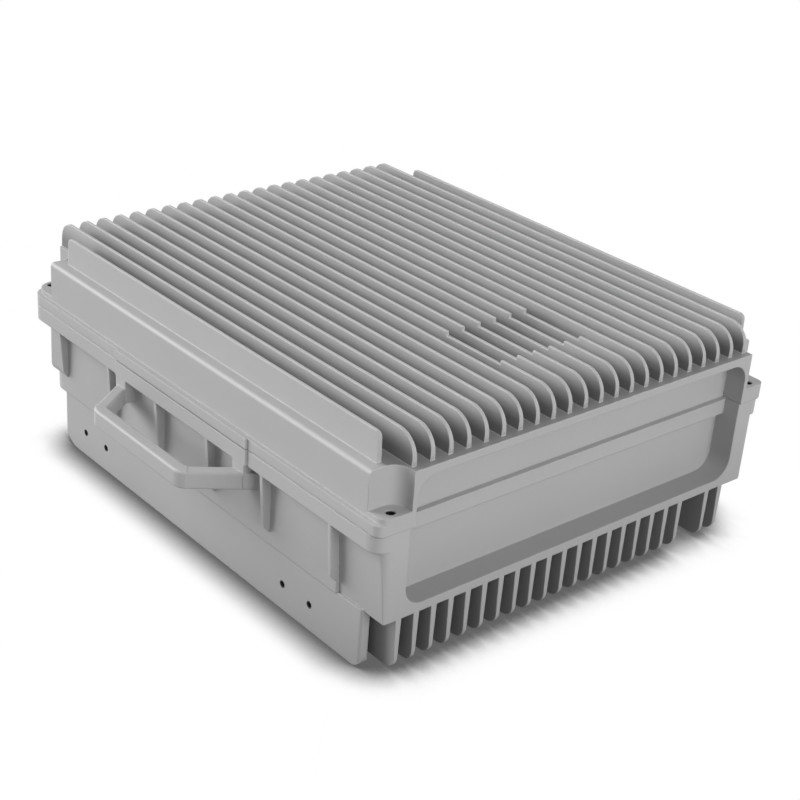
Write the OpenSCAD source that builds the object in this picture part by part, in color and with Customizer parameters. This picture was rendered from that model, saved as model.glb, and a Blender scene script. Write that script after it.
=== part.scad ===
// Die-cast finned enclosure: a ribbed base casting with two cast carrying handles,
// a finned lid casting and the seal between them.
// X runs across the fins, Y along them, Z is up. The front has the connector bay
// and faces -Y. The origin is the middle of the rest plane under the two skids.

// Sub-part to draw

/* [Overall] */
// Width over the flanges
body_w = 370; // [300:1:450]
// Length from the front face to the rear edge
body_len = 431; // [380:1:520]
// Height of the skids under the floor
skid_h = 44; // [30:1:60]
// Height of the base casting from its floor to the parting face
base_h = 66; // [50:1:120]
// Height of the lid from the parting face to its top plate
lid_h = 40; // [30:1:70]

/* [Castings] */
// Wall thickness of both castings
wall_t = 6; // [4:0.5:8]
// Setback of the base's side walls from the flange edge
wall_step = 7.5; // [6.5:0.5:12]
// Setback of the front posts from the flange edge, just under the flange
post_step = 6.5; // [5:0.5:9]
// Draft of the front posts, per side
post_draft = 3.5; // [2.5:0.1:5]
// Base flange thickness
base_flange_t = 12; // [8:0.5:14]
// Lid flange thickness
lid_flange_t = 8.3; // [6:0.1:12]
// Setback of the lid's left wall from the flange edge
lid_inset = 3.5; // [2:0.5:5]
// Thickness of the lid's screw ears
ear_t = 12; // [9:0.5:15]
// Overhang of the rear flange behind the base wall
rear_lip = 15; // [10:0.5:18]
// Radius of the base's rear corners
rear_r = 18; // [14:1:24]
// Rounding of the base's lower rear edge
heel_r = 14; // [8:1:18]
// Rounding of the lid's long top edges
shoulder_r = 3; // [1:0.5:5]
// Chamfer along the parting line, sides and rear
parting_c = 0.6; // [0.3:0.1:1]

/* [Top fins] */
// Fin pitch, top and bottom
fin_pitch = 15; // [13:0.5:18]
// Fin height above the lid
fin_h = 21; // [12:0.5:30]
// Fin thickness at the root
fin_root = 4; // [3:0.1:5]
// Fin thickness at the tip
fin_tip = 2.2; // [1.5:0.1:3]
// Offset of all fins and the lid's bay from the middle
fin_x = 2.5; // [0:0.5:4]
// Number of full-length fins on the lid
top_fins = 22; // [12:2:22]
// Setback of the fins from the lid's front edge
fin_front = 5.5; // [3:0.5:10]
// End radius of the fins at the front
fin_r_front = 16; // [6:1:20]
// End radius of the fins at the rear
fin_r_rear = 13; // [6:1:20]
// Setback of the two outer fins at the front
outer_front = 21.3; // [18:0.1:30]
// Setback of the two outer fins and the skids at the rear
outer_rear = 36; // [32:0.5:50]
// Depth of the label recess cut in the fin tops
recess_d = 3; // [2:0.5:8]

/* [Bottom fins] */
// Gap between the bottom fins and the rest plane
fin_gap = 5; // [1:0.1:8]
// Bottom fin thickness at the root
low_root = 4.6; // [3:0.1:6]
// Bottom fin thickness at the tip
low_tip = 2.6; // [1.5:0.1:3]
// End radius of the bottom fins
low_r = 9; // [4:0.5:20]
// Skid thickness
skid_t = 8; // [6:0.5:12]
// Setback of the skids at the front
skid_front = 19; // [15:0.5:25]
// Lower corner radius of the skids at the front
skid_r_front = 8; // [4:1:14]
// Lower corner radius of the skids at the rear
skid_r_rear = 17; // [8:1:22]

/* [Connector bay] */
// Width of the front face beside the bay
bay_side = 26.5; // [25:0.5:45]
// Depth of the bay
bay_d = 19; // [10:0.5:24]
// Thickness of the lip under the bay
bay_lip = 6.6; // [4:0.1:10]
// Corner radius of the bay
bay_r = 15; // [8:1:20]
// Width of the base rim that shows in the bay
bay_rim = 6; // [3:0.5:8]

/* [Lid screws] */
// Distance of the screws from the flange's side edges
screw_side = 13; // [11:0.5:15]
// Offset of the screws from the middle
screw_off = 1.5; // [0:0.5:3]
// Distance of the screws from the front and rear edges
screw_inset = 6.7; // [6:0.1:9]
// Clearance hole in the lid ears
screw_hole = 6.6; // [5:0.1:7]
// Tapping hole in the base
screw_tap = 5; // [4:0.1:6]
// Length of the front left corner pocket
pocket_len = 15.5; // [13:0.5:18]
// Length of the front right corner pocket
pocket_len_right = 20; // [14:0.5:21]
// Length of the rear corner pockets
pocket_rear = 26.5; // [20:0.5:32]
// Inside corner radius of the pockets
pocket_r = 11; // [4:0.5:12]

/* [Side walls] */
// Thickness of the side ribs
rib_t = 3; // [2:0.5:5]
// Rib distance from the side centre, inner pair
rib_y1 = 32.5; // [25:0.5:40]
// Rib distance from the side centre, middle pair
rib_y2 = 97.5; // [90:0.5:110]
// Rib distance from the side centre, outer pair
rib_y3 = 171.5; // [150:0.5:175]
// Height of the rib foot over the rest plane
rib_z = 56; // [50:0.5:70]
// Height of the rear post's foot over the rest plane
post_z = 61; // [56:0.5:70]
// Offset of the ribs and bracket screws toward the rear
side_y = 3; // [0:0.5:6]
// Bracket screw distance from the side centre, inner pair
bracket_y1 = 115; // [80:1:130]
// Bracket screw distance from the side centre, outer pair
bracket_y2 = 145; // [135:1:150]
// Bracket screw height over the rest plane
bracket_z = 19.8; // [12:0.1:30]
// Bracket screw tapping hole
bracket_tap = 4.2; // [3.3:0.1:6]

/* [Handles] */
// How far the grip stands out from the flange
handle_out = 36.5; // [30:0.5:50]
// Grip thickness
handle_t = 10; // [8:0.5:11]
// Grip height
handle_h = 13.7; // [10:0.1:16]
// Half length of the grip
handle_grip = 55.7; // [45:0.1:60]
// Half length over the roots
handle_root = 81.5; // [75:0.5:90]
// Width of each root along the wall
handle_root_w = 13; // [10:0.5:16]
// Top of the handle below the parting face
handle_drop = 18.5; // [14:0.5:24]
// Bend radius outside the grip corners
handle_r = 11.5; // [11.5:0.5:16]
// Edge rounding of the handle
handle_edge = 2; // [1:0.5:4]
// Step from the grip down to the slimmer arms
arm_step = 0.2; // [0.15:0.05:0.5]
// Offset of the handles toward the rear
handle_y = 5; // [0:0.5:8]
// Thickness of the flange pad between the roots
pad_t = 1.3; // [0.5:0.1:2]

/* [Seal] */
// Seal width
seal_w = 3.8; // [3:0.1:4]
// Seal height when closed
seal_h = 3; // [2:0.1:4]
// Side clearance of the seal in its groove
seal_clear = 0.1; // [0.05:0.05:0.3]

/* [Board bosses] */
// Distance between the board bosses across the width
boss_x = 250; // [120:1:260]
// Distance between the board bosses along the length
boss_y = 280; // [160:1:320]
// Boss height over the floor
boss_h = 10; // [5:0.5:20]
// Boss diameter
boss_d = 11; // [9:0.5:14]
// Tapping hole in the bosses
boss_tap = 3.3; // [2.5:0.1:5]

/* [Hidden] */
$fn = 64;
front_y = -body_len / 2;
rear_y = body_len / 2;
parting_z = skid_h + base_h;
plate_z = parting_z + lid_h;
fin_z = plate_z + fin_h;
flange_z = parting_z - base_flange_t;
ear_z = parting_z + ear_t;
floor_z = skid_h + wall_t;
wall_rear_y = rear_y - rear_lip;
post_rear_y = side_y - rib_y3 - rib_t / 2;
heel_y = wall_rear_y - heel_r;
bay_bottom_z = skid_h + bay_lip;
bay_top_z = plate_z - wall_t;
wall_w = body_w - 2 * wall_step;
post_w = body_w - 2 * post_step;
bay_w = body_w - 2 * bay_side;
screw_x = body_w - 2 * screw_side;
cavity_w = wall_w - 2 * wall_t;
lid_w = body_w - lid_inset;
lid_x = lid_inset / 2;
lid_cavity_w = body_w - 2 * lid_inset - 2 * wall_t - 1;
cavity_front_y = front_y + bay_d + 5;
cavity_rear_y = wall_rear_y - wall_t - 2;
screw_y = body_len / 2 - screw_inset;
lid_bay_w = bay_w - 2;
pocket_x = lid_bay_w / 2 + 3.5;
outer_fin_x = (top_fins + 1) / 2 * fin_pitch;
seal_x = lid_cavity_w / 2 + 1.5 + seal_clear;
seal_front_y = cavity_front_y - 1 - seal_clear;
seal_rear_y = cavity_rear_y + 2 + seal_clear;
handle_z = parting_z - handle_drop - handle_h;
grip_x = body_w / 2 + handle_out;
over = 1;

// Rounded rectangle between two Y values, symmetric about X = 0
module plan(w, y0, y1, r0, r1) {
    translate([-w / 2, y0 + r0]) square([w, y1 - r1 - y0 - r0]);
    translate([-w / 2 + r0, y0]) square([w - 2 * r0, r0 + over]);
    translate([-w / 2 + r1, y1 - r1 - over]) square([w - 2 * r1, r1 + over]);
    for (s = [-1, 1]) {
        translate([s * (w / 2 - r0), y0 + r0]) circle(r0);
        translate([s * (w / 2 - r1), y1 - r1]) circle(r1);
    }
}

// Profile drawn in X and Z, extruded from y0 to y1
module along_y(y0, y1) {
    translate([0, y1, 0]) rotate([90, 0, 0]) linear_extrude(y1 - y0) children();
}

// Profile drawn in Y and Z, extruded from x0 to x1
module along_x(x0, x1) {
    translate([x0, 0, 0]) rotate([90, 0, 90]) linear_extrude(x1 - x0) children();
}

module fin_profile(x, z_root, z_tip, t_root, t_tip) {
    polygon([[x - t_root / 2, z_root], [x + t_root / 2, z_root],
             [x + t_tip / 2, z_tip], [x - t_tip / 2, z_tip]]);
}

// Side view of a row of upper fins, with rounded ends
module upper_envelope(y0, y1, r0, r1) {
    translate([y0, plate_z - over]) square([y1 - y0, fin_h + over - max(r0, r1)]);
    translate([y0 + r0, fin_z - r0]) circle(r0);
    translate([y1 - r1, fin_z - r1]) circle(r1);
    translate([y0 + r0, plate_z - over]) square([y1 - r1 - y0 - r0, fin_h + over]);
    translate([y1 - r1 - over, plate_z - over]) square([r1 + over, fin_h + over - r1]);
}

// Side view of the lower fins and skids, with rounded lower ends
module lower_envelope(y0, y1, z0, r0, r1) {
    translate([y0, z0 + max(r0, r1)]) square([y1 - y0, skid_h + over - z0 - max(r0, r1)]);
    translate([y0, z0 + r0]) square([r0 + over, skid_h + over - z0 - r0]);
    translate([y0 + r0, z0]) square([y1 - y0 - r0 - r1, max(r0, r1) + over]);
    translate([y0 + r0, z0 + r0]) circle(r0);
    translate([y1 - r1, z0 + r1]) circle(r1);
}

// Plan of one corner pocket at +X, open to the outside, len measured from y = 0
module pocket_plan(len) {
    translate([pocket_x + pocket_r, -over]) square([30, len + over]);
    translate([pocket_x, -over]) square([30, len - pocket_r + over]);
    translate([pocket_x + pocket_r, len - pocket_r]) circle(pocket_r);
}

// Bay seen from the front, rounded at all four corners
module bay_cut(w, depth) {
    along_y(front_y - over, front_y + depth)
        plan(w, bay_bottom_z, bay_top_z, bay_r, bay_r);
}

module corner_screws(d, z0, z1) {
    for (sx = [-1, 1], sy = [-1, 1])
        translate([screw_off + sx * screw_x / 2, sy * screw_y, z0])
            cylinder(d = d, h = z1 - z0);
}

module board_bosses(d, z0, z1) {
    for (sx = [-1, 1], sy = [-1, 1])
        translate([sx * boss_x / 2, sy * boss_y / 2, z0]) cylinder(d = d, h = z1 - z0);
}

// Inner edge of the seal, offset outward by e
module seal_plan(e) {
    plan(2 * (seal_x + e), seal_front_y - e, seal_rear_y + e, 8 + e, 16 + e);
}

module seal_ring(clear, z0, z1) {
    translate([0, 0, z0]) linear_extrude(z1 - z0) difference() {
        seal_plan(seal_w + clear);
        seal_plan(-clear);
    }
}

module rib_profile(outer, foot_z) {
    inner = wall_w / 2 - over;
    polygon([[inner, flange_z + over], [outer, flange_z + over], [outer - 2.6, foot_z + 3],
             [wall_w / 2, foot_z - 3], [inner, foot_z - 3]]);
}

// Five ribs, and the rear post that takes the place of the sixth
module side_ribs() {
    post_y = side_y + rib_y3 - rib_t / 2;
    for (d = [-rib_y3, -rib_y2, -rib_y1, rib_y1, rib_y2])
        along_y(side_y + d - rib_t / 2, side_y + d + rib_t / 2)
            rib_profile(body_w / 2, rib_z);
    intersection() {
        along_y(post_y, wall_rear_y) rib_profile(body_w / 2 - 1, post_z);
        translate([0, 0, post_z - 4]) linear_extrude(flange_z - post_z + 6)
            plan(body_w - 2, front_y, wall_rear_y, 10.5, rear_r);
    }
}

// Drafted front posts, from the front face to the first rib
module front_posts() {
    intersection() {
        along_y(front_y, side_y - rib_y3)
            polygon([[-post_w / 2, flange_z + over], [post_w / 2, flange_z + over],
                     [post_w / 2 - post_draft, skid_h], [post_draft - post_w / 2, skid_h]]);
        translate([0, 0, skid_h]) linear_extrude(base_h)
            plan(post_w, front_y, wall_rear_y, 6.5, rear_r);
    }
}

// Bar section with rounded edges, its outer face at X = handle_r
module handle_section(inset) {
    r = handle_edge;
    x0 = handle_r - handle_t + inset;
    x1 = handle_r - inset;
    z1 = handle_h - inset;
    translate([x0, inset + r]) square([x1 - x0, z1 - inset - 2 * r]);
    translate([x0 + r, inset]) square([x1 - x0 - 2 * r, z1 - inset]);
    for (x = [x0 + r, x1 - r], z = [inset + r, z1 - r])
        translate([x, z]) circle(r);
}

// Cast handle at +X: a straight grip, two bends and two splayed arms
module handle() {
    wall = wall_w / 2 - over;
    bend = atan2(handle_out, handle_root - handle_grip);
    bend_x = grip_x - handle_r;
    bend_y = handle_grip - handle_r * tan(bend / 2);
    arm = (bend_x + handle_r * cos(bend) - wall) / sin(bend) + handle_t;
    translate([0, handle_y, handle_z]) intersection() {
        union() {
            translate([bend_x, 0, 0]) along_y(-bend_y, bend_y) handle_section(0);
            for (m = [0, 1]) mirror([0, m, 0]) translate([bend_x, bend_y, 0]) {
                rotate_extrude(angle = bend) handle_section(0);
                rotate([0, 0, bend]) along_y(-over / 2, arm) handle_section(arm_step);
            }
        }
        translate([wall, -handle_root - 20, -over])
            cube([grip_x, 2 * handle_root + 40, handle_h + 2 * over]);
    }
    for (m = [0, 1]) translate([0, handle_y, 0]) mirror([0, m, 0])
        translate([wall, handle_root - handle_root_w, handle_z + handle_edge])
            cube([body_w / 2 + pad_t - wall, handle_root_w, flange_z - handle_z]);
}

module side_pad(z0, z1) {
    translate([body_w / 2 - over, handle_y - handle_root - 1.5, z0])
        cube([pad_t + over, 2 * handle_root + 3, z1 - z0]);
}

module both_sides() {
    children();
    mirror([1, 0, 0]) children();
}

module skid() {
    intersection() {
        along_x(wall_w / 2 - skid_t - over, wall_w / 2 + over)
            lower_envelope(front_y + skid_front, rear_y - outer_rear, 0, skid_r_front, skid_r_rear);
        translate([wall_w / 2 - skid_t - 0.7, 0, 0]) linear_extrude(skid_h + over)
            translate([skid_t / 2, 0])
                plan(skid_t, front_y + skid_front, rear_y - outer_rear, 2.5, 2.5);
    }
}

module base() {
    color("#a9abad") difference() {
        union() {
            intersection() {
                translate([0, 0, skid_h]) linear_extrude(base_h - parting_c)
                    plan(wall_w, post_rear_y, wall_rear_y, 1, rear_r);
                along_x(-wall_w / 2, wall_w / 2) {
                    translate([front_y, skid_h + heel_r]) square([body_len, base_h]);
                    translate([front_y, skid_h]) square([heel_y - front_y, base_h]);
                    translate([heel_y, skid_h + heel_r]) circle(heel_r);
                }
            }
            front_posts();
            translate([0, 0, flange_z]) linear_extrude(base_flange_t - parting_c)
                plan(body_w, front_y, rear_y, 10.5, 14);
            translate([0, 0, flange_z]) linear_extrude(base_flange_t)
                plan(body_w - 2 * parting_c, front_y, rear_y - parting_c, 10.5, 13.4);
            intersection() {
                along_y(front_y, heel_y + 2) for (i = [-11:10]) if (i != 8)
                    fin_profile(fin_x + i * fin_pitch, skid_h + over, fin_gap, low_root, low_tip);
                along_x(-wall_w / 2, wall_w / 2)
                    lower_envelope(front_y, heel_y + 2, fin_gap, low_r, low_r);
            }
            both_sides() {
                skid();
                side_ribs();
                handle();
                side_pad(flange_z, parting_z - parting_c);
            }
        }
        difference() {
            translate([0, 0, floor_z]) linear_extrude(base_h)
                plan(cavity_w, cavity_front_y, cavity_rear_y, 6, rear_r - wall_t);
            board_bosses(boss_d, floor_z - over, floor_z + boss_h);
        }
        board_bosses(boss_tap, floor_z - 2, floor_z + boss_h + over);
        intersection() {
            bay_cut(bay_w, bay_d);
            translate([-body_w / 2, front_y - over, 0]) cube([body_w, bay_d + over, flange_z]);
        }
        bay_cut(bay_w, bay_d - bay_rim);
        seal_ring(seal_clear, parting_z - seal_h, parting_z + over);
        corner_screws(screw_tap, flange_z - 8, parting_z + over);
        for (s = [-1, 1], d = [-bracket_y2, -bracket_y1, bracket_y1, bracket_y2])
            translate([s * (wall_w / 2 - skid_t / 2), side_y + d, bracket_z])
                rotate([0, 90, 0]) cylinder(d = bracket_tap, h = skid_t + 2 * over, center = true);
    }
}

module lid() {
    color("#b0b2b4") difference() {
        union() {
            intersection() {
                translate([0, 0, parting_z + parting_c]) linear_extrude(lid_h - parting_c)
                    translate([lid_x, 0]) plan(lid_w, front_y, rear_y, 6, 14);
                translate([lid_x, 0, 0]) along_y(front_y - over, rear_y + over) {
                    translate([-lid_w / 2, parting_z]) square([lid_w, lid_h - shoulder_r]);
                    translate([-lid_w / 2 + shoulder_r, parting_z])
                        square([lid_w - 2 * shoulder_r, lid_h]);
                    for (s = [-1, 1])
                        translate([s * (lid_w / 2 - shoulder_r), plate_z - shoulder_r])
                            circle(shoulder_r);
                }
            }
            translate([0, 0, parting_z + parting_c]) linear_extrude(lid_flange_t - parting_c)
                plan(body_w, front_y, rear_y, 6, 14);
            translate([0, 0, parting_z]) linear_extrude(lid_flange_t)
                plan(body_w - 2 * parting_c, front_y, rear_y - parting_c, 6, 13.4);
            intersection() {
                along_y(front_y, rear_y) for (i = [0:top_fins - 1])
                    fin_profile(fin_x + (i - (top_fins - 1) / 2) * fin_pitch, plate_z - over, fin_z,
                                fin_root, fin_tip);
                along_x(lid_x - lid_w / 2, lid_x + lid_w / 2)
                    upper_envelope(front_y + fin_front, rear_y, fin_r_front, fin_r_rear);
            }
            intersection() {
                along_y(front_y, rear_y) for (s = [-1, 1])
                    fin_profile(fin_x + s * outer_fin_x, plate_z - over, fin_z, fin_root, fin_tip);
                along_x(lid_x - lid_w / 2, lid_x + lid_w / 2)
                    upper_envelope(front_y + outer_front, rear_y - outer_rear, 4, 4);
            }
            both_sides() side_pad(parting_z + parting_c, parting_z + lid_flange_t);
        }
        translate([0, 0, parting_z - over]) linear_extrude(lid_h - wall_t + over) {
            plan(lid_cavity_w, cavity_front_y, rear_y - pocket_rear - wall_t, 6, 6);
            plan(2 * (pocket_x - fin_x - wall_t), cavity_front_y, cavity_rear_y, 6, 6);
        }
        translate([fin_x, 0, 0]) bay_cut(lid_bay_w, bay_d - 2);
        translate([0, 0, ear_z]) linear_extrude(lid_h) {
            translate([fin_x, front_y]) pocket_plan(pocket_len_right);
            translate([fin_x, front_y]) mirror([1, 0]) pocket_plan(pocket_len);
            for (m = [0, 1])
                translate([fin_x, rear_y]) mirror([m, 0]) mirror([0, 1]) pocket_plan(pocket_rear);
        }
        corner_screws(screw_hole, parting_z - over, ear_z + over);
        translate([fin_x - 3 * fin_pitch, front_y + 58, fin_z - recess_d])
            cube([6 * fin_pitch, 55, recess_d + over]);
    }
}

module gasket() {
    color("#2b2c2e") seal_ring(0, parting_z - seal_h, parting_z);
}

base();
lid();
gasket();
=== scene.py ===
import math

import bpy
from mathutils import Matrix, Vector

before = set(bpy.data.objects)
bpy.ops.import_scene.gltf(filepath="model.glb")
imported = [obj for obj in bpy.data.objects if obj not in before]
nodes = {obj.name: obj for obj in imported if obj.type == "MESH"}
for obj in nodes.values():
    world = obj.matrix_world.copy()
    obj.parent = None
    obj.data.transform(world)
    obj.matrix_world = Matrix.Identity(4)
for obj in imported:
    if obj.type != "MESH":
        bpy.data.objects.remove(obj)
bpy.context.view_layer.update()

# Camera, measured from the photograph: degrees, metres and millimetres of lens
CAM_AZ, CAM_EL, CAM_ROLL = -41.925, 26.341, 4.456
CAM_POS = Vector((-0.7425, -0.8465, 0.6233))
CAM_LENS = 72.77


def make_camera():
    az, el, roll = (math.radians(a) for a in (CAM_AZ, CAM_EL, CAM_ROLL))
    back = Vector((math.sin(az) * math.cos(el), -math.cos(az) * math.cos(el), math.sin(el)))
    right = Vector((math.cos(az), math.sin(az), 0))
    up = back.cross(right)
    x = right * math.cos(roll) + up * math.sin(roll)
    y = up * math.cos(roll) - right * math.sin(roll)
    data = bpy.data.cameras.new("camera")
    data.lens = CAM_LENS
    data.sensor_width = 36
    data.clip_start, data.clip_end = 0.05, 60
    camera = bpy.data.objects.new("camera", data)
    camera.matrix_world = Matrix.Translation(CAM_POS) @ Matrix((x, y, back)).transposed().to_4x4()
    bpy.context.collection.objects.link(camera)
    bpy.context.scene.camera = camera


class Value:
    """A shader output with ordinary arithmetic."""

    def __init__(self, tree, socket):
        self.tree, self.socket = tree, socket

    def math(self, op, *others, clamp=False):
        n = self.tree.nodes.new("ShaderNodeMath")
        n.operation, n.use_clamp = op, clamp
        for i, v in enumerate((self,) + others):
            if isinstance(v, Value):
                self.tree.links.new(v.socket, n.inputs[i])
            else:
                n.inputs[i].default_value = v
        return Value(self.tree, n.outputs[0])

    def __add__(self, o): return self.math("ADD", o)
    def __sub__(self, o): return self.math("SUBTRACT", o)
    def __mul__(self, o): return self.math("MULTIPLY", o)
    def __abs__(self): return self.math("ABSOLUTE")
    def power(self, o): return self.math("POWER", o)
    def most(self, o): return self.math("MAXIMUM", o)

    def between(self, a, b):
        """0 to 1 as the value goes from a to b."""
        return ((self - a) * (1 / (b - a))).math("ADD", 0.0, clamp=True)


class Finish:
    """A node tree with one Principled shader and Object coordinates."""

    def __init__(self, name, **constants):
        self.mat = bpy.data.materials.new(name)
        self.mat.use_nodes = True
        self.tree = self.mat.node_tree
        self.bsdf = self.tree.nodes["Principled BSDF"]
        self.out = self.tree.nodes["Material Output"]
        for key, v in constants.items():
            self.bsdf.inputs[key.replace("_", " ")].default_value = v
        self.coords = self.node("ShaderNodeTexCoord").outputs["Object"]

    def node(self, kind, values=None, **attributes):
        n = self.tree.nodes.new(kind)
        for key, v in attributes.items():
            setattr(n, key, v)
        for key, v in (values or {}).items():
            if isinstance(v, Value):
                self.tree.links.new(v.socket, n.inputs[key])
            else:
                n.inputs[key].default_value = v
        return n

    def value(self, node, output=0):
        return Value(self.tree, node.outputs[output])

    def axes(self):
        n = self.node("ShaderNodeSeparateXYZ")
        self.tree.links.new(self.coords, n.inputs[0])
        return [self.value(n, i) for i in range(3)]

    def normals(self):
        n = self.node("ShaderNodeSeparateXYZ")
        self.tree.links.new(self.node("ShaderNodeTexCoord").outputs["Normal"], n.inputs[0])
        return [self.value(n, i) for i in range(3)]

    def noise(self, size, detail=2.0, rough=0.5):
        """Noise from 0 to 1 with features of about this size in metres."""
        n = self.node("ShaderNodeTexNoise", {"Scale": 1 / size, "Detail": detail, "Roughness": rough})
        self.tree.links.new(self.coords, n.inputs["Vector"])
        return self.value(n)

    def mix(self, factor, a, b):
        n = self.node("ShaderNodeMix", {0: factor}, data_type="RGBA")
        for i, v in ((6, a), (7, b)):
            if isinstance(v, Value):
                self.tree.links.new(v.socket, n.inputs[i])
            else:
                n.inputs[i].default_value = v
        return self.value(n, 2)

    def rounding(self, radius):
        """A normal that runs round the edges, and 1 on the edges as a value, where the highlight is
        painted.
        """
        round_normal = self.node("ShaderNodeBevel", {"Radius": radius}, samples=4).outputs[0]
        dot = self.node("ShaderNodeVectorMath", operation="DOT_PRODUCT")
        self.tree.links.new(round_normal, dot.inputs[0])
        self.tree.links.new(self.node("ShaderNodeNewGeometry").outputs["Normal"], dot.inputs[1])
        return round_normal, self.value(dot, "Value").between(EDGE_FLAT, EDGE_FULL)

    def bump(self, height, distance, strength=1.0, normal=None):
        n = self.node("ShaderNodeBump", {"Height": height, "Distance": distance, "Strength": strength})
        if normal:
            self.tree.links.new(normal, n.inputs["Normal"])
        self.tree.links.new(n.outputs[0], self.bsdf.inputs["Normal"])

    def link(self, value, name):
        self.tree.links.new(value.socket, self.bsdf.inputs[name])


def grey(v):
    return (v, v, v, 1)


# Reflectance of the grey coat. The changes with the place follow the photograph's light and shade
PAINT = 0.42
PAINT_SPREAD = 0.03             # cloudiness, as a share
EDGE_HIGHLIGHT_PAINT = 0.66               # painted highlight on the rounded edges
EDGE_HIGHLIGHT_SHARE = 0.25               # how much of that painted highlight the edges below the lid get
GAP_SHADE_PAINT = 0.19                # painted shade deep between the fins
WALL_SHADE_PAINT = 0.30                # painted shade low on the outer walls, at the front
BORE_SHADE_PAINT = 0.02                # painted shade, near black, in and round the screw holes

# Feature sizes of the coat in metres, its relief and its roughness
CLOUD_SIZE, DIMPLE_SIZE, GRAIN_SIZE = 0.07, 0.006, 0.0016
COAT_RELIEF, COAT_ROUGH = 0.00012, 0.42

# Seal: darkest and brightest tone, grain size and relief in metres, roughness
SEAL_DARK, SEAL_PALE = 0.018, 0.032
SEAL_GRAIN, SEAL_RELIEF, SEAL_ROUGH = 0.002, 0.00005, 0.6

# Rounded edges in metres, and the normals' dot product from flat to full edge, where the painted
# highlight goes from none to full
EDGE_ROUND = 0.0012
EDGE_FLAT, EDGE_FULL = 0.985, 0.86
LID_FROM, LID_TO = 0.138, 0.144

# Upper fins: tip and foot, where the painted shade sets in, and the row's middle and half width
FIN_TOP, FIN_FOOT = 0.171, 0.150
FIN_OPEN, FIN_DARK = 0.002, 0.015
PLATE_RISE, PLATE_SHADE, FOOT_SLACK = 0.004, 0.55, 0.0004
FIN_SHIFT, FIN_SPAN = 0.0025, 0.171
SIDE_FROM, SIDE_TO = 0.3, 0.8

# Lower fins: underside, inner face of the skids, front, and how the painted shade fades to the right
FLOOR_UNDER, SKID_INNER = 0.0436, 0.166
LOW_FRONT, LOW_DEPTH = -0.2145, 0.012
LOW_RIGHT, LOW_LEFT, LOW_SHADE = 0.16, -0.12, 0.85

# Outer walls: where the painted shade starts and is full, in height and toward the front
WALL_HIGH, WALL_LOW = 0.10, 0.0
WALL_REAR, WALL_FRONT = 0.05, -0.20

# Lid screw holes and bracket holes
SCREW_X, SCREW_Y, SCREW_OFF = 0.172, 0.2088, 0.0015
SCREW_R, SCREW_TOP = 0.0034, 0.121
BRACKET_Y, BRACKET_STEP, SIDE_OFF = 0.130, 0.015, 0.003
BRACKET_Z, BRACKET_R, SKID_OUTER = 0.0198, 0.0028, 0.1776


def ring_distance(a, b):
    return (a * a + b * b).power(0.5)


def bores(f):
    """1 in and just round the lid screw holes and the bracket holes, where dark shade is painted."""
    x, y, z = f.axes()
    screw = ring_distance(abs(x - SCREW_OFF) - SCREW_X, abs(y) - SCREW_Y)
    bracket = ring_distance(abs(abs(y - SIDE_OFF) - BRACKET_Y) - BRACKET_STEP, z - BRACKET_Z)
    in_screw = screw.math("LESS_THAN", SCREW_R) * z.math("LESS_THAN", SCREW_TOP)
    in_bracket = bracket.math("LESS_THAN", BRACKET_R) * abs(x).math("LESS_THAN", SKID_OUTER)
    return in_screw.most(in_bracket)


def gap_shade(f):
    """Painted shade in the gaps: 0 on open faces, 1 deep between the fins, as in the photograph."""
    x, y, z = f.axes()
    on_side = abs(f.normals()[0]).between(SIDE_FROM, SIDE_TO)
    in_row = abs(x - FIN_SHIFT).math("LESS_THAN", FIN_SPAN)
    inside = in_row * z.math("GREATER_THAN", FIN_FOOT - FOOT_SLACK)
    top = on_side * z.between(FIN_TOP - FIN_OPEN, FIN_TOP - FIN_DARK)
    plate = z.between(FIN_FOOT + PLATE_RISE, FIN_FOOT) * PLATE_SHADE
    inner = abs(x).math("LESS_THAN", SKID_INNER) * z.math("LESS_THAN", FLOOR_UNDER)
    low = inner * on_side * y.between(LOW_FRONT, LOW_FRONT + LOW_DEPTH)
    low = low * (x.between(LOW_RIGHT, LOW_LEFT) * LOW_SHADE)
    return (inside * top.most(plate)).most(low)


def low_wall_shade(f):
    """1 on the outer walls near the ground, toward the front, where shade is painted as the photograph
    shows it.
    """
    x, y, z = f.axes()
    return z.between(WALL_HIGH, WALL_LOW) * y.between(WALL_REAR, WALL_FRONT)


def coated_casting():
    f = Finish("grey coated casting", Specular_IOR_Level=0.45)
    round_normal, edge = f.rounding(EDGE_ROUND)
    cloud = f.noise(CLOUD_SIZE, 3.0)
    grain = f.noise(GRAIN_SIZE, 2.0, 0.6)
    tone = cloud * 0.6 + grain * 0.4
    coat = f.mix(tone.between(0.3, 0.7), grey(PAINT * (1 - PAINT_SPREAD)),
                 grey(PAINT * (1 + PAINT_SPREAD)))
    # Painted shade low on the outer walls, toward the front
    coat = f.mix(low_wall_shade(f), coat, grey(WALL_SHADE_PAINT))
    # Painted shade between the upper fins, on the plate at their feet and between the lower fins
    coat = f.mix(gap_shade(f), coat, grey(GAP_SHADE_PAINT))
    # Painted highlight on the rounded edges, full on the lid and weaker below it
    on_lid = f.axes()[2].between(LID_FROM, LID_TO) * (1 - EDGE_HIGHLIGHT_SHARE) + EDGE_HIGHLIGHT_SHARE
    coat = f.mix(edge * on_lid, coat, grey(EDGE_HIGHLIGHT_PAINT))
    # Painted shade, near black, in and round the screw and bracket holes
    f.link(f.mix(bores(f), coat, grey(BORE_SHADE_PAINT)), "Base Color")
    f.link(grain * 0.12 + COAT_ROUGH + cloud * 0.08, "Roughness")
    relief = grain * 0.7 + f.noise(DIMPLE_SIZE, 2.0) * 0.3
    f.bump(relief, COAT_RELIEF, 0.6, round_normal)
    return f.mat


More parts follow.
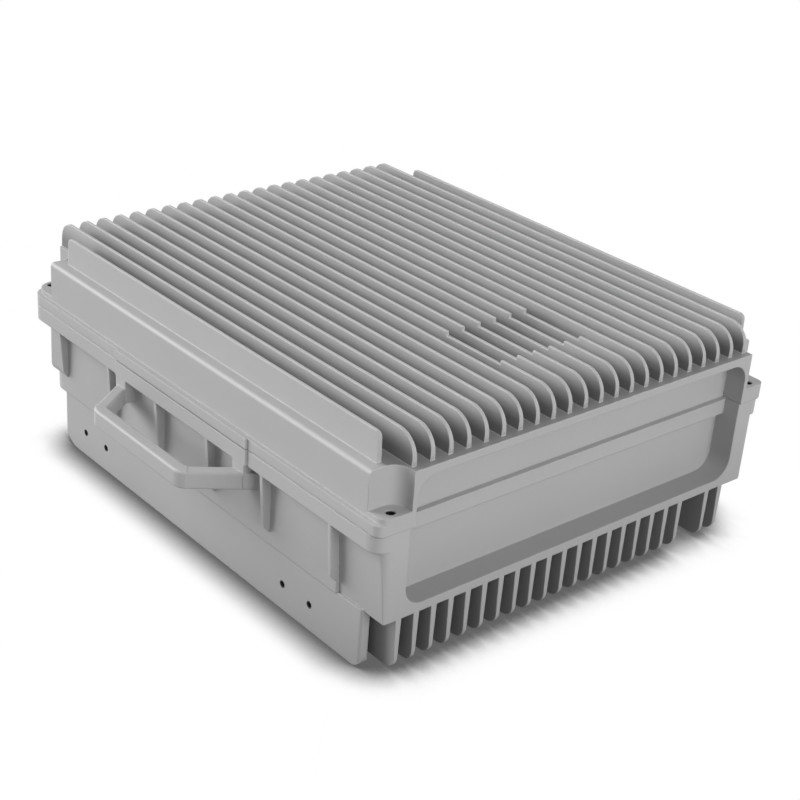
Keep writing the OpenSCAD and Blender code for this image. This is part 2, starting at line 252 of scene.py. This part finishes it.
def seal_rubber():
    f = Finish("black seal rubber", Specular_IOR_Level=0.4)
    skin = f.noise(SEAL_GRAIN, 2.0)
    f.link(f.mix(skin, grey(SEAL_DARK), grey(SEAL_PALE)), "Base Color")
    f.link(skin * 0.15 + SEAL_ROUGH, "Roughness")
    f.bump(skin, SEAL_RELIEF, 0.5)
    return f.mat


def paint_nodes():
    casting, rubber = coated_casting(), seal_rubber()
    for name, o in nodes.items():
        o.data.materials.clear()
        o.data.materials.append(rubber if name == "gasket" else casting)


FLOOR_SIZE = 40
FLOOR_TONE = 0.22               # what the floor reflects onto the object
SHADOW_REACH = 0.034            # how far the contact shadow runs from the object
SHADOW_TONE = 0.12              # the floor right under the edges
SHADOW_FROM, SHADOW_TO, SHADOW_CURVE = 0.50, 0.95, 1.4

# Light: strength of the surroundings, then each lamp's side, power and softness in degrees
SKY = 0.34
KEY_DIR, KEY_POWER, KEY_SOFT = (-0.6, 1.0, 0.3), 2.5, 40
HIGH_DIR, HIGH_POWER, HIGH_SOFT = (-0.6, 1.0, 0.6), 1.3, 40
FILL_DIR, FILL_POWER, FILL_SOFT = (-0.05, -1.0, 0.3), 2.1, 40
SIDE_DIR, SIDE_POWER, SIDE_SOFT = (1.0, 0.1, 0.15), 1.1, 40


def background_rays(tree):
    """1 for the rays that should find a plain white surrounding."""
    path = tree.nodes.new("ShaderNodeLightPath")
    camera, glossy, through = (Value(tree, path.outputs[name]) for name in
                               ("Is Camera Ray", "Is Glossy Ray", "Is Transmission Ray"))
    return camera.most(glossy).most(through)


def make_floor():
    """A floor that is seen as white, apart from the shadow close to the object."""
    bpy.ops.object.select_all(action="DESELECT")
    bpy.ops.mesh.primitive_plane_add(size=FLOOR_SIZE, location=(0, 0, 0))
    floor = bpy.context.object
    floor.name = "floor"
    f = Finish("pale floor", Specular_IOR_Level=0.0, Roughness=1.0)
    f.bsdf.inputs["Base Color"].default_value = grey(FLOOR_TONE)
    near = f.node("ShaderNodeAmbientOcclusion", {"Distance": SHADOW_REACH}, samples=16)
    openness = f.value(near, 1)
    lit = openness.between(SHADOW_FROM, SHADOW_TO).power(SHADOW_CURVE)
    shade = lit * (1 - SHADOW_TONE) + SHADOW_TONE
    seen = f.node("ShaderNodeEmission", {"Color": (1, 1, 1, 1), "Strength": shade})
    blend = f.node("ShaderNodeMixShader", {0: background_rays(f.tree)})
    f.tree.links.new(f.bsdf.outputs[0], blend.inputs[1])
    f.tree.links.new(seen.outputs[0], blend.inputs[2])
    f.tree.links.new(blend.outputs[0], f.out.inputs[0])
    floor.data.materials.append(f.mat)


def make_sun(name, direction, power, soft):
    data = bpy.data.lights.new(name, "SUN")
    data.energy, data.angle = power, math.radians(soft)
    o = bpy.data.objects.new(name, data)
    o.rotation_euler = Vector(direction).to_track_quat("Z", "Y").to_euler()
    bpy.context.collection.objects.link(o)


def make_world():
    world = bpy.data.worlds.new("studio")
    world.use_nodes = True
    tree = world.node_tree
    background = tree.nodes["Background"]
    background.inputs[0].default_value = (1, 1, 1, 1)
    background.inputs[1].default_value = SKY
    white = tree.nodes.new("ShaderNodeBackground")
    white.inputs[0].default_value = (1, 1, 1, 1)
    white.inputs[1].default_value = 1.0
    mix = tree.nodes.new("ShaderNodeMixShader")
    tree.links.new(background_rays(tree).socket, mix.inputs[0])
    tree.links.new(background.outputs[0], mix.inputs[1])
    tree.links.new(white.outputs[0], mix.inputs[2])
    tree.links.new(mix.outputs[0], tree.nodes["World Output"].inputs[0])
    bpy.context.scene.world = world
    bpy.context.scene.view_settings.view_transform = "Standard"


make_camera()
paint_nodes()
make_floor()
make_world()
make_sun("key", KEY_DIR, KEY_POWER, KEY_SOFT)
make_sun("high key", HIGH_DIR, HIGH_POWER, HIGH_SOFT)
make_sun("fill", FILL_DIR, FILL_POWER, FILL_SOFT)
make_sun("side fill", SIDE_DIR, SIDE_POWER, SIDE_SOFT)
